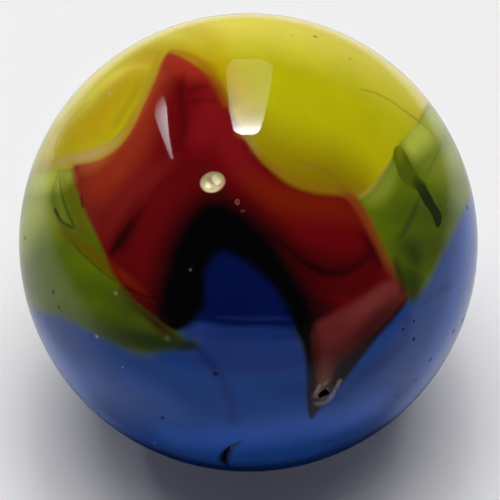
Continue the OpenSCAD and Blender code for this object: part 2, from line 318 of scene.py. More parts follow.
        [(54, 279.5, 0.7, 0.9), (52.5, 278, 0.9, 0.9), (50.5, 276, 0.8, 0.6), (46, 274.5, 0.7, 0.7)],
        [(44.8, 285, 0.6, 0.8), (43.5, 282, 0.8, 0.8)],
        [(46.5, 270.5, 0.4, 0.3), (44, 267.5, 0.5, 0.5), (40.5, 263.5, 0.5, 0.5), (37, 258.5, 0.5, 0.5),
         (34, 253.5, 0.4, 0.3)],
        [(24.5, 147, 1.6, 1), (29, 150, 1.2, 0.9), (33.5, 154.3, 1.1, 0.9), (38, 156.6, 1.1, 0.9),
         (43, 158.8, 1.2, 1), (47, 159.8, 1.2, 1), (50, 160.2, 0.9, 0.9)],
        [(75, 262.5, 0.5, 0.5), (72, 257.5, 0.5, 0.6), (70, 255, 0.4, 0.4)]]),
    # fine brown threads over the yellow
    "hair": (0, [
        [(51, 36.5, 0.6, 0.4), (53.5, 40, 0.6, 0.5), (56, 45, 0.6, 0.5), (57.5, 49.5, 0.6, 0.6),
         (59.5, 53.5, 0.6, 0.6), (62, 56.5, 0.5, 0.5), (63.5, 60, 0.5, 0.4), (64.5, 63, 0.4, 0.3)],
        [(59.5, 55, 0.8, 0.3), (64, 54, 0.8, 0.4), (69, 53, 0.9, 0.4), (77, 52.5, 0.9, 0.3)],
        [(60.5, 293, 0.5, 0.15), (65, 296.5, 0.5, 0.35), (66.5, 300.5, 0.5, 0.35), (65, 306.5, 0.5, 0.35),
         (62, 312.5, 0.4, 0.2)],
        [(22, 28, 0.8, 0.15), (24, 45, 1.1, 0.35), (26, 54, 0.8, 0.2)]]),
    # pale yellow toward the rim, partly a painted reflection: the haze of the pale surroundings mirrored
    # there
    "pale_yellow_and_reflection": (0, [
        [(80, 297, 18, 0.8), (76, 312, 20, 1), (80, 330, 27, 1), (76, 347, 30, 1), (76, 10, 33, 1),
         (78, 28, 33, 1), (82, 45, 33, 1), (86, 55, 30, 1)],
        [(67, 298, 10, 0.85), (64, 316, 10, 0.6), (61, 326, 10, 0.95)]]),
    # ochre in the yellow on the left of the patch
    "ochre": (0, [
        [(62, 331, 13, 0.8), (54, 340, 12, 1), (46, 348, 10, 1), (38, 352, 9, 0.9), (31, 356, 8, 0.8)],
        [(71, 343, 8, 0.2), (62, 348, 8, 0.5), (54, 349, 7, 0.6)],
        [(66, 298, 14, 0.4), (58, 302, 15, 0.8), (52, 308, 14, 1), (54, 318, 14, 1), (57, 325, 10, 0.9)]]),
    # the lower edge of the yellow, darker along the cream seam
    "shade": (0, [
        [(26, 358, 10, 0.5), (20, 12, 14, 0.8), (18, 28, 17, 0.9), (19, 45, 18, 1), (23, 56, 16, 1),
         (28, 64, 11, 0.9)],
        [(48, 347, 3, 0.3), (41, 350, 3.5, 0.5), (34, 353, 3.5, 0.5)],
        [(55, 328, 2.5, 0.2), (49, 322, 2.5, 0.3), (46.5, 312, 2.5, 0.3)],
        [(20, 14, 3, 0.5), (20, 30, 3, 0.9), (20.5, 45, 3, 0.9), (23.5, 55, 2.5, 0.7)]]),
    # paler blue where the glass is cloudy, and partly a painted reflection of the pale floor toward the rim
    "pale_blue_and_reflection": (0, [
        [(74, 240, 13, 1), (70, 232, 11, 0.9), (60, 228, 8, 0.4)],
        [(48, 220, 7, 0.25), (45, 210, 7, 0.3), (52, 203, 8, 0.4)],
        [(60, 200, 10, 0.7), (54, 185, 11, 1), (53, 168, 11, 1), (56, 155, 9.5, 1), (59, 143, 8, 0.8)],
        [(67, 122, 10, 0.9), (65, 110, 10, 0.9), (65, 98, 10, 1), (68, 86, 11, 1)],
        [(28, 201, 4, 0.3), (33, 194, 3.5, 0.3), (39, 188.5, 3.5, 0.3), (46, 184.5, 3.5, 0.2)]]),
    # milky blue on the rim, lower left and right, partly a painted reflection of the pale floor mirrored at
    # grazing angles
    "milky_blue_and_reflection": (0, [
        [(88, 250, 20, 1), (82, 240, 19, 1), (79, 230, 16, 0.9), (76, 220, 9, 0.5)],
        [(76, 135, 12, 0.9), (76, 120, 11, 1), (78, 108, 14, 1), (80, 96, 18, 1), (80, 86, 18, 1),
         (78, 79, 14, 1)]]),
    # near-black blue: painted shade underneath, where the ball rests on the floor, and a dark wisp of glass
    # on the right
    "wisp_and_painted_shade": (0, [
        [(90, 220, 6, 0.6), (84, 211, 8, 0.8), (78, 203, 9, 0.9), (76, 192, 10, 1), (76, 178, 10, 1),
         (76, 165, 10, 0.8), (76, 153, 9, 0.7), (80, 143, 8, 0.8), (87, 134, 7, 0.6)],
        [(50, 109, 1.8, 0.3), (54, 104.5, 2, 0.45), (58, 102.5, 2, 0.45), (61.5, 102, 1.6, 0.2)]]),
    # a lighter, hazy band of the blue below the fold: partly the blue glass, partly a painted reflection of
    # the pale surroundings
    "mist_and_reflection": (0.5, [
        [(26.5, 213, 5, 0.8), (27, 204, 8.5, 0.9), (26.8, 192, 9, 1), (26.5, 180, 9, 1), (26.8, 170, 9, 1),
         (28, 160, 8, 1), (30, 153, 6, 1)]]),
    # the top of the streak, over the yellow
    "olive": (0, [
        [(48, 56, 2.5, 1), (46, 59, 2.5, 0.9), (44, 62, 2, 0.3)]]),
    # the darkest part of the streak in the green
    "pitch": (0.3, [
        [(46.5, 70.5, 2, 0.5), (47.5, 73, 3.4, 0.9), (49, 77, 3.8, 1), (51, 81, 4, 1), (53, 86, 4, 1)]]),
    # thin pale line near the bottom of the fold
    "fold_line": (0.1, [
        [(19.2, 203, 0.8, 0.1), (18.2, 193.5, 0.9, 0.25), (17.9, 179, 0.8, 0.2), (18.6, 164.5, 0.9, 0.3),
         (20.2, 152, 0.8, 0.15)]]),
    # the dark of the fold over its blue
    "fold_smoke": (0, [
        [(5, 250, 3, 0.7), (3, 200, 3, 0.6), (6, 165, 2.4, 0.5), (9, 155, 1.8, 0.4)],
        [(8, 251, 2.5, 0.6), (11, 242, 2.4, 0.4), (15.5, 229, 1.8, 0.4), (19.5, 219, 1.6, 0.3)],
        [(31, 213, 1, 0.3), (29, 209.5, 1.8, 0.6), (27.8, 206.5, 1.5, 0.3)],
        [(22.3, 219.5, 2, 0.8), (24.3, 219.5, 2.2, 0.9), (26.3, 220.5, 2, 0.9)],
        [(24, 148.5, 1.8, 0.8), (27, 150.5, 1.6, 0.8), (30, 152.5, 1.2, 0.6)]]),
    # darker blue near the fold and in wisps
    "deep_blue": (0, [
        [(40, 160, 5, 0.4), (36, 172, 5, 0.2)],
        [(28, 206, 2, 0.5), (29.5, 200.5, 2.2, 0.5), (31.7, 195, 2.6, 0.5), (35.2, 190.5, 3, 0.5),
         (39.3, 187.3, 3.2, 0.6), (44, 185.7, 3.2, 0.5), (48.5, 184.5, 3, 0.3)],
        [(23.5, 203, 2.5, 0.3), (22.4, 192, 2.8, 0.45), (21.8, 179, 3, 0.5), (22.6, 166, 3, 0.5),
         (24.5, 155, 2.5, 0.5)],
        [(46, 116, 2.5, 0.6), (50, 122, 4, 0.5), (47, 132, 4, 0.6), (46, 142, 4, 0.5), (48, 150, 4, 0.15)],
        [(66, 155, 6, 0.2)]]),
    # pale broken glass round the deep hollow
    "ash": (0, [
        [(45.5, 157.6, 0.8, 0.3), (46.5, 156.8, 1.2, 0.8), (47.2, 153.9, 1, 0.55), (45.9, 151.4, 1, 0.75),
         (43.7, 148.6, 0.9, 0.6), (42.6, 146.8, 1, 0.6)],
        [(43.5, 156.6, 1, 0.35), (41.6, 155, 1.1, 0.6), (40.6, 153.7, 0.8, 0.6)],
        [(41, 152, 0.6, 0.4), (40.6, 150.8, 0.7, 0.5), (41, 149.7, 0.5, 0.3)], [(44.5, 153.5, 2.8, 0.45)]]),
    # painted highlights: the lamps' glints inside the cup, painted as pale cream spots
    "painted_glint": (0.45, [
        [(15.8, 332.6, 1.1, 1), (16.7, 332, 1, 1)], [(16.1, 323.7, 0.85, 1), (16.5, 324.5, 0.7, 0.9)]]),
    # the shaded floor of the cup
    "khaki": (0, [
        [(17.3, 327.6, 0.8, 0.5), (16.2, 328.4, 0.8, 0.8), (15, 330.5, 0.8, 0.7), (14.6, 333.5, 0.8, 0.7)]]),
    # its reddish side
    "blush": (0, [
        [(13.2, 328, 0.8, 0.6), (13.3, 332, 1, 1), (14, 336, 0.8, 0.7), (15.5, 338, 0.5, 0.5)],
        [(18.4, 325, 0.6, 0.5), (18.9, 330, 0.6, 0.6), (18, 335, 0.5, 0.5)], [(14.9, 325.9, 0.4, 1)]]),
    # rim of a small bubble sealed under the skin, and a faint line beside it
    "ring": (0, [
        [(9.6, 346.5, 0.28, 0.8), (9.9, 344, 0.28, 0.8), (9.4, 341.5, 0.28, 0.8), (8.8, 342.5, 0.28, 0.8),
         (8.8, 346, 0.28, 0.8), (9.6, 346.5, 0.28, 0.8)],
        [(7, 347, 0.4, 0.4), (7, 352, 0.4, 0.4)]]),
}
# Specks: place, radius in degrees and strength
DARK_SPECKS = [
    (78.5, 110, 1.3, 1), (82.7, 102.6, 0.8, 0.8), (72, 113.5, 0.9, 0.9), (66, 129.7, 0.5, 0.7),
    (65.5, 123, 0.7, 0.8), (48.6, 115.7, 0.5, 0.6), (52, 120.5, 0.6, 0.9), (46.5, 119.5, 0.4, 0.8),
    (62.9, 136, 0.4, 0.6), (71, 234.8, 0.5, 0.8), (70, 232, 0.4, 0.6), (54, 206, 0.6, 1),
    (33, 194, 0.8, 0.8), (55.9, 251, 0.6, 0.6), (56.5, 255.5, 0.7, 0.7), (71.5, 271, 0.8, 0.7),
    (65.5, 18, 0.9, 0.6), (61, 29, 0.6, 0.4), (62, 12, 0.5, 0.4), (69.4, 81, 0.6, 0.8), (73, 90, 0.5, 0.7)]
LIGHT_SPECKS = [
    (46.9, 238, 0.7, 0.6), (46.5, 225, 0.4, 0.5), (69.5, 205, 0.6, 0.4), (35, 248.6, 0.8, 0.3),
    (30.4, 220, 1.1, 0.12), (57, 317, 0.8, 0.3), (71, 137, 0.5, 0.5), (14.8, 243.8, 0.5, 0.2),
    (57, 80, 0.4, 0.3)]
TRAILS["dark_specks"] = 0.4, [[speck] for speck in DARK_SPECKS]
TRAILS["light_specks"] = 0.2, [[speck] for speck in LIGHT_SPECKS]

# Colours of the lesser glasses, by the trail or field that they fill
LESSER_GLASSES = {
    "streak": (0.075, 0.105, 0.001), "olive": (0.2, 0.19, 0.001), "pitch": (0.012, 0.023, 0.001),
    # the first colour here, near-black blue, is painted shade underneath and a dark wisp on the right
    "wisp_and_painted_shade": (0.0015, 0.011, 0.08), "rosy": (0.165, 0.0095, 0.0075), "inner": (0.112, 0.002, 0.003),
    "scarlet": (0.3, 0.014, 0.008), "wrinkle": (0.012, 0.0003, 0.0008),
    # the first colour here, smoky red over the tongue, is partly a painted reflection of a pale haze
    "smoky_red": (0.155, 0.022, 0.021), "dim": (0.012, 0.002, 0.003), "umber": (0.16, 0.05, 0.035),
    "smoke": (0.003, 0.0006, 0.0008), "hair": (0.16, 0.1, 0.02), "dark": (0.003, 0.003, 0.003),
    "dark_specks": (0.006, 0.008, 0.015), "light_specks": (0.5, 0.5, 0.42),
    # of these, the crease's near-black is painted shade
    "ring": (0.35, 0.09, 0.06), "ash": (0.3, 0.28, 0.28), "crease": (0.001, 0.002, 0.006),
    "cup": (0.62, 0.52, 0.27), "khaki": (0.38, 0.31, 0.13), "blush": (0.42, 0.17, 0.08),
    # painted shade: the near-black inside the deep hollow
    "hollow": (0.0005, 0.0005, 0.0005)}


# ---- open flaws

# The oval cup of a burst bubble, with its long side turned by CUP_TURN degrees. Sizes here are in
# millimetres; CUP_REACH is the cup's radius in degrees, and FAR_OFF counts in such radii.
CUP, CUP_TURN, CUP_REACH, FAR_OFF = (15.9, 328.8), 12, 2.8, 9
CUP_HALF_LENGTH, CUP_HALF_WIDTH, CUP_DEPTH = 0.62, 0.53, 0.3
# A shallow dish with a deep, angular hollow in it, whose inside is painted near-black: painted shade. The
# hollow's wall starts LIP degrees outside its outline and is WALL degrees wide.
DISH, DISH_RADIUS, DISH_DEPTH = (44.5, 153.5), 0.8, 0.1
HOLLOW_DEPTH, LIP, WALL = 0.3, 0.1, 0.7
HOLLOW = [
    (42.8, 152.6), (42.8, 152.6), (44.8, 151.5), (45.5, 152.4), (44.9, 155.7), (44.9, 155.7), (43.5, 155.5),
    (43, 153.9)]
# A crease that gapes in the middle and runs out at both ends: place and half width. Its sides
# slope, and the painted shade in it spreads past them, palest at the ends and stronger with each millimetre.
CREASE_DEPTH, CREASE_SLOPE = 0.2, 1.2
SHADE_SPREAD, SHADE_PALEST, SHADE_GROWTH = 2.2, 0.4, 4
CREASE = [
    (55.2, 181.7, 0.04), (56.6, 183, 0.07), (58.1, 184.3, 0.11), (60.4, 185.6, 0.16), (64, 186.5, 0.21),
    (67.4, 186.6, 0.2), (71.4, 185.8, 0.13), (74.7, 185, 0.05)]
# The pits under the dark specks, and the ring over a bubble sealed under the skin, whose radius
# and half width are in degrees
PIT_DEPTH = 0.06
RING, RING_RADIUS, RING_HALF_WIDTH, RING_DEPTH = (9.3, 344), 0.55, 0.3, 0.015

# Which faces each pass splits: those farther forward than front, from -1 at the back to 1, and
# those within so many degrees of a mark
SPLITS = [
    {"front": -0.2},
    {"front": 0.1, "edges": 2},
    {"lines": 0.8, "spots": 1.2, "flaws": 4, "crease": 1.8},
    {"spots": 0.8, "flaws": 3.6, "crease": 1.4}]
THREADS = ("cream", "tan", "rose", "dark", "hair", "ember")
# Middles of the patches of fine mesh: the cup, the dish and a place inside the ring
FLAWS = [CUP, DISH, (9.3, 344.5)]
# Within so many degrees of a flaw, the skin isn't an exact ball
UNEVEN = 3.8
# Directions are worked out a block at a time, and a trail's only for those near it, in degrees
BLOCK, NEARBY = 4096, 3


def ray(out, round_):
    """Direction from the ball's centre to a place."""
    o, r = math.radians(out), math.radians(round_)
    return np.array([math.sin(o) * math.sin(r), math.sin(o) * math.cos(r), math.cos(o)])


def rays(rows):
    """Directions to a row of places, whatever else each of them is given with."""
    return np.array([ray(out, round_) for out, round_, *_ in rows])


def turned_up(tilt):
    """Rotation from the patterned side's own axes to the ball as it lies."""
    return np.array(Matrix.Rotation(math.pi / 2 - tilt, 3, "X"))


def level_axes(place, turn):
    """Axes of the skin at a place: along and across a line turned from the right, and outward."""
    up = ray(*place)
    right = np.cross((0, 1, 0), up)
    right /= np.linalg.norm(right)
    ahead = np.cross(up, right)
    c, s = math.cos(math.radians(turn)), math.sin(math.radians(turn))
    return c * right + s * ahead, c * ahead - s * right, up


def smoothstep(t):
    """Eases from 0 to 1."""
    t = np.clip(t, 0.0, 1.0)
    return t * t * (3 - 2 * t)


def bowl(out, radius):
    """Depth of a round bowl, from 0 at its edge to 1 in the middle."""
    return np.clip(1 - (out / radius) ** 2, 0, 1)


def angle_from(p, place):
    """Angle from each direction in p to a place, in radians."""
    return np.arccos(np.clip(p @ ray(*place), -1, 1))


def nearest(p, marks):
    """Angle in degrees from each direction to the nearest of the marks."""
    best = np.full(len(p), -1.0)
    for i in range(0, len(marks), 512):
        best = np.maximum(best, (p @ marks[i:i + 512].T).max(1))
    return np.degrees(np.arccos(np.clip(best, -1, 1)))


def smoothed(points, closed, times=3):
    """Cuts the corners of a row of (direction..., further values) so that it bends smoothly."""
    for _ in range(times):
        following = np.roll(points, -1, axis=0)
        a, b = 0.75 * points + 0.25 * following, 0.25 * points + 0.75 * following
        if closed:
            points = np.stack([a, b], axis=1).reshape(-1, points.shape[1])
        else:
            inner = np.stack([a[:-1], b[:-1]], axis=1).reshape(-1, points.shape[1])
            points = np.concatenate([points[:1], inner, points[-1:]])
        points[:, :3] /= np.linalg.norm(points[:, :3], axis=1, keepdims=True)
    return points


def from_segments(p, a, b):
    """Distance in degrees from each direction in p to each segment a-b, and where along it."""
    ab = b - a
    length2 = np.maximum((ab ** 2).sum(1), 1e-12)
    t = np.clip((p @ ab.T - (a * ab).sum(1)) / length2, 0, 1)
    near2 = (p ** 2).sum(1)[:, None] - 2 * (p @ a.T + t * (p @ ab.T)) \
        + (a ** 2).sum(1) + 2 * t * (a * ab).sum(1) + t ** 2 * length2
    return np.degrees(np.sqrt(np.maximum(near2, 0))), t


def depth_in(p, outline):
    """How deep in degrees each direction lies inside the outline; below 0 outside it."""
    line = smoothed(rays(outline), True)
    ahead = np.roll(line, -1, axis=0)
    flat, flat_line, flat_ahead = (q[:, :2] / (1.0001 + q[:, 2:]) for q in (p, line, ahead))
    rise = flat_ahead[:, 1] - flat_line[:, 1]
    depth = np.empty(len(p))
    for i in range(0, len(p), BLOCK):
        part = slice(i, i + BLOCK)
        gap, _ = from_segments(p[part], line, ahead)
        x, y = flat[part, 0][:, None], flat[part, 1][:, None]
        crosses = (flat_line[:, 1] > y) != (flat_ahead[:, 1] > y)
        at = flat_line[:, 0] + (y - flat_line[:, 1]) * (flat_ahead[:, 0] - flat_line[:, 0]) \
            / np.where(rise == 0, 1e-9, rise)
        inside = (crosses & (x < at)).sum(1) % 2 == 1
        depth[part] = np.where(inside, 1, -1) * gap.min(1)
    return depth


def cover_of(p, trails, core):
    """How strongly the trails cover each direction, from 0 to 1."""
    cover = np.zeros(len(p))
    for trail in trails:
        rows = np.array([[*ray(o, r), w, s] for o, r, w, s in trail])
        if len(rows) == 1:
            rows = np.concatenate([rows, rows + 1e-6])
        rows = smoothed(rows, False, 2)
        reach = math.cos(math.radians(rows[:, 3].max() + NEARBY))
        close = np.nonzero((p @ rows[:, :3].T).max(1) > reach)[0]
        for i in range(0, len(close), BLOCK):
            part = close[i:i + BLOCK]
            gap, t = from_segments(p[part], rows[:-1, :3], rows[1:, :3])
            width, strength = (rows[:-1, k] * (1 - t) + rows[1:, k] * t for k in (3, 4))
            shade = strength * smoothstep((1 - gap / width) / (1 - core))
            cover[part] = np.maximum(cover[part], shade.max(1))
    return cover


# ---- settings

class MarbleBall(bpy.types.PropertyGroup):
    """Sizes of the ball."""
    diameter: FloatProperty(
        name="Diameter", description="Diameter of the ball",
        default=round(max(HIGH - LOW), 4), min=0.01, max=0.06, unit="LENGTH", precision=4)
    tilt: FloatProperty(
        name="Tilt", description="How far the patterned side is turned up from level",
        default=math.radians(50), min=0, max=math.pi / 2, subtype="ANGLE")
    fineness: IntProperty(
        name="Fineness", description="Faces along each side of the cube that the ball starts from",
        default=32, min=8, max=48)


def tint(name, description, colour):
    """A colour that the sidebar shows."""
    return FloatVectorProperty(
        name=name, description=description, default=colour, min=0, max=1, subtype="COLOR", size=3)


class MarbleGlass(bpy.types.PropertyGroup):
    """Colours of the glasses."""
    yellow: tint("Yellow", "Yellow glass over the top", (0.43, 0.395, 0.002))
    # partly painted reflection: the mirrored haze near the rim is painted into this yellow
    pale_yellow_and_reflection: tint("Pale yellow", "Yellow toward the rim", (0.84, 0.72, 0.1))
    ochre: tint("Ochre", "Warmer side of the yellow glass", (0.45, 0.31, 0.002))
    shade: tint("Shaded yellow", "Yellow along the cream seam", (0.235, 0.155, 0.001))
    green: tint("Green", "Green band", (0.105, 0.155, 0.002))
    # partly painted reflection: the mirrored haze near the rim is painted into this green
    pale_green_and_reflection: tint("Pale green", "Green toward the rim", (0.5, 0.55, 0.065))
    deep_green: tint("Deep green", "Green in its clouds and lines", (0.022, 0.037, 0.007))
    moss: tint("Moss", "Green away from the light", (0.058, 0.084, 0.004))
    blue: tint("Blue", "Blue glass round the bottom", (0.007, 0.052, 0.25))
    # partly painted reflection: some of this paleness is the mirrored floor, painted in
    pale_blue_and_reflection: tint("Pale blue", "Cloudy blue", (0.031, 0.1, 0.43))
    # partly painted reflection: the pale floor mirrored on the rim is painted into this blue
    milky_blue_and_reflection: tint("Milky blue", "Palest blue, on the rim", (0.15, 0.25, 0.6))
    deep_blue: tint("Deep blue", "Blue in its wisps", (0.001, 0.015, 0.12))
    # partly painted reflection: the pale haze mirrored below the fold is painted into this blue
    mist_and_reflection: tint("Misty blue", "Hazy band below the fold", (0.021, 0.048, 0.215))
    navy: tint("Navy", "Blue glass inside the fold", (0.001, 0.006, 0.068))
    red: tint("Red", "Red patch", (0.125, 0.0015, 0.003))
    brick: tint("Brick", "Lighter side of the red patch", (0.25, 0.022, 0.008))
    flush: tint("Flush", "Hazy outer edge of the red patch", (0.36, 0.065, 0.018))
    crimson: tint("Crimson", "Clear red in the middle of the patch", (0.185, 0.0045, 0.007))
    glow: tint("Warm red", "Red that glows orange", (0.172, 0.01, 0.0015))
    # partly painted reflection: a pale haze mirrored over the top of the tongue
    dusk_and_reflection: tint("Dusky red", "Top of the tongue", (0.22, 0.036, 0.03))
    maroon: tint("Maroon", "Folds of the red patch", (0.028, 0.0005, 0.001))
    ember: tint("Bright red", "Band on the edge of the red patch", (0.19, 0.012, 0.003))
    rust: tint("Rust", "Red thinning out over yellow", (0.3, 0.115, 0.003))
    brown: tint("Brown", "Red thinning out over green", (0.03, 0.01, 0.006))
    amber: tint("Amber", "Strip between red and green", (0.125, 0.082, 0.001))
    tan: tint("Tan", "Seam on the left", (0.35, 0.205, 0.018))
    seam: tint("Seam", "Seam below the yellow", (0.25, 0.13, 0.006))
    cream: tint("Cream", "Pale parts of the seams", (0.44, 0.31, 0.085))
    rose: tint("Rose", "Right edge of the red patch", (0.22, 0.036, 0.008))
    black: tint("Black", "Black glass in the fold", (0.0006, 0.0006, 0.001))
    # painted highlight: the pale cream of the glints inside the cup
    painted_glint: tint("Painted glint", "Glints inside the cup", (1.0, 0.94, 0.62))


class MarbleStage(bpy.types.PropertyGroup):
    """The floor's colour."""
    floor_tint: tint("Floor", "Colour of the floor and the backdrop", (0.82, 0.815, 0.83))


# ---- materials

# Scales of the noise in the glass: how its edges waver, where it clouds over, how its polish
# varies and how patchy the broken glass is
WAVER, CLOUDS, POLISH, PATCHES = 400, 260, 700, 3000


class Mixer:
    """Makes and joins the nodes of one material."""

    def __init__(self, name):
        self.material = bpy.data.materials.new(name)
        self.material.use_nodes = True
        self.nodes, self.links = self.material.node_tree.nodes, self.material.node_tree.links
        self.skin = self.nodes["Principled BSDF"]

    def made(self, kind, inputs=(), **settings):
        """A new node. Each input is given a value or another node's socket."""
        node = self.nodes.new("ShaderNode" + kind)
        for name, setting in settings.items():
            setattr(node, name, setting)
        for socket, given in dict(inputs).items():
            if isinstance(given, bpy.types.NodeSocket):
                self.links.new(given, node.inputs[socket])
            else:
                node.inputs[socket].default_value = given
        return node

    def plain(self, colour):
        socket = self.made("RGB").outputs[0]
        socket.default_value = (*colour, 1)
        return socket

    def value(self, name):
        return self.made("Attribute", attribute_name=name).outputs["Fac"]

    def math(self, operation, a, b):
        return self.made("Math", {0: a, 1: b}, operation=operation).outputs[0]

    def length(self, vector):
        return self.made("VectorMath", {0: vector}, operation="LENGTH").outputs["Value"]

    def scaled(self, colour, level):
        return self.made("VectorMath", {0: colour, "Scale": level}, operation="SCALE").outputs[0]

    def ramp(self, value, low, high, to_low=0.0, to_high=1.0):
        """Eases from to_low to to_high as the value goes from low to high."""
        inputs = {
            "Value": value, "From Min": low, "From Max": high, "To Min": to_low, "To Max": to_high}
        return self.made("MapRange", inputs, interpolation_type="SMOOTHSTEP").outputs["Result"]

    def mixed(self, factor, under, over):
        inputs = {"Factor": factor, "A": under, "B": over}
        return self.made("Mix", inputs, data_type="RGBA", clamp_factor=True).outputs["Result"]


class Layers(Mixer):
    """A material whose colour is laid up from one glass after another."""

    def __init__(self, name, glass, ground):
        super().__init__(name)
        self.glass = glass
        self.place = self.made("TexCoord").outputs["Object"]
        self.top = self.glass_of(ground)

    def noise(self, scale, detail=3.0, distortion=0.0):
        inputs = {"Vector": self.place, "Scale": scale, "Detail": detail, "Distortion": distortion}
        return self.made("TexNoise", inputs).outputs["Fac"]

    def glass_of(self, name):
        return self.plain(LESSER_GLASSES.get(name) or getattr(self.glass, name))

    def trail(self, name, colour=None, strength=None):
        """Lays a trail over what is there, in the glass of its own name or of another."""
        cover = self.value(name)
        if strength:
            cover = self.math("MULTIPLY", cover, strength)
        self.top = self.mixed(cover, self.top, self.glass_of(colour or name))

    def trails(self, *names):
        for name in names:
            self.trail(name)

    def stack(self, ground, *names):
        """A glass with trails in it, ready to be laid over the rest."""
        under, self.top = self.top, self.glass_of(ground)
        self.trails(*names)
        made, self.top = self.top, under
        return made

    def field(self, name, over, soft, waver=0.0):
        """Lays a field over what is there. Its edge blurs over soft degrees and wavers a little."""
        depth = self.value(name + "_depth")
        if waver:
            shift = self.math("SUBTRACT", self.noise(WAVER, 2.0), 0.5)
            depth = self.math("ADD", depth, self.math("MULTIPLY", shift, 2 * waver))
        self.top = self.mixed(self.ramp(depth, -soft / 2, soft / 2), self.top, over)


def laid_up_glass(glass):
    """The marble's glass: fields, seams, threads and specks under one polished skin."""
    lay = Layers("laid_up_glass", glass, "green")
    lay.skin.inputs["IOR"].default_value = 1.5
    lay.skin.inputs["Specular IOR Level"].default_value = 0.5

    lay.trails("pale_green_and_reflection", "moss", "deep_green", "amber")
    lay.field("yellow", lay.stack("yellow", "pale_yellow_and_reflection", "ochre", "shade"), soft=0.9, waver=0.15)
    lay.field("streak", lay.stack("streak", "olive", "pitch"), soft=0.6)
    blue = lay.stack("blue", "pale_blue_and_reflection", "milky_blue_and_reflection", "mist_and_reflection", "deep_blue", "wisp_and_painted_shade")
    lay.field("blue", blue, soft=3.6, waver=0.3)

    # the red patch, which darkens over the last degrees before the fold
    under, lay.top = lay.top, lay.glass_of("red")
    lay.trails("brick", "flush", "rosy")
    lay.field("inner", lay.glass_of("inner"), soft=0.9, waver=0.2)
    lay.trails("crimson", "scarlet", "glow")
    by_the_fold = lay.ramp(lay.value("fold_depth"), -8.5, 0.5)
    lay.top = lay.mixed(by_the_fold, lay.top, lay.glass_of("black"))
    lay.trails("maroon", "wrinkle")
    # the tongue: smoky glass with a painted reflection of a pale haze over it
    lay.field("dusk_and_reflection", lay.glass_of("smoky_red"), soft=2.6, waver=0.3)
    lay.trails("dusk_and_reflection", "dim", "ember", "umber", "smoke")
    red, lay.top = lay.top, under
    lay.field("red", red, soft=2.0, waver=0.2)

    lay.trails("rust", "brown")
    lay.field("fold", lay.glass_of("black"), soft=3.2, waver=0.25)
    lay.field("fold_blue", lay.glass_of("navy"), soft=2.8, waver=0.3)
    lay.trail("fold_smoke", "black")
    lay.trail("fold_line", "mist_and_reflection")
    lay.trails("rose", "tan", "seam", "cream", "hair", "dark", "dark_specks", "light_specks", "ring")
    patches = lay.ramp(lay.noise(PATCHES, 2.0), 0.35, 0.65, to_low=0.5, to_high=1.0)
    lay.trail("ash", strength=patches)
    # painted shade in and beside the crease
    lay.trail("crease")

    # the cup, whose rim blurs over half a degree, and the hollow, painted near-black as painted shade
    cup = lay.ramp(lay.value("cup_depth"), -0.25, 0.3)
    # the cup: its cream floor, the shaded part of it, its reddish side and the painted highlights of its
    # glints
    lay.top = lay.mixed(cup, lay.top, lay.stack("cup", "khaki", "blush", "painted_glint"))
    lay.field("hollow", lay.glass_of("hollow"), soft=0.3)

    clouds = lay.ramp(lay.noise(CLOUDS, 4.0, 0.4), 0.25, 0.75, to_low=0.93, to_high=1.07)
    lay.links.new(lay.scaled(lay.top, clouds), lay.skin.inputs["Base Color"])
    polish = lay.ramp(lay.noise(POLISH), 0.2, 0.8, to_low=0.02, to_high=0.05)
    # broken glass, in the cup and round the hollow, is rougher
    rougher = lay.math("MULTIPLY", lay.math("MAXIMUM", cup, lay.value("ash")), 0.25)
    lay.links.new(lay.math("ADD", polish, rougher), lay.skin.inputs["Roughness"])
    return lay.material


# ---- the ball

def link(name, data):
    """A new object in the scene."""
    obj = bpy.data.objects.new(name, data)
    bpy.context.scene.collection.objects.link(obj)
    return obj


def mesh_from(bm, name):
    mesh = bpy.data.meshes.new(name)
    bm.to_mesh(mesh)
    bm.free()
    return mesh


def cube_ball(fineness):
    """A ball of radius 1 with even square faces: a cube blown up, its grid bowed to even it out."""
    bm = bmesh.new()
    bmesh.ops.create_cube(bm, size=2)
    bmesh.ops.subdivide_edges(bm, edges=bm.edges[:], cuts=fineness - 1, use_grid_fill=True)
    for v in bm.verts:
        v.co = Vector([math.tan(c * math.pi / 4) for c in v.co]).normalized()
    return bm


def refine(bm, marks, front=math.inf, **within):
    """Splits faces in four and lifts the new corners to the ball."""
    bm.faces.ensure_lookup_table()
    centres = np.array([f.calc_center_median().normalized() for f in bm.faces])
    wanted = centres[:, 2] > front
    for kind, degrees in within.items():
        close = nearest(centres, marks[kind]) < degrees
        # fine lines are split on the patterned half only
        if kind == "lines":
            close &= centres[:, 2] > 0
        wanted |= close
    edges = {e for i in np.nonzero(wanted)[0] for e in bm.faces[i].edges}
    made = bmesh.ops.subdivide_edges(bm, edges=list(edges), cuts=1, use_grid_fill=True)
    for item in made["geom_inner"]:
        if isinstance(item, bmesh.types.BMVert):
            item.co.normalize()


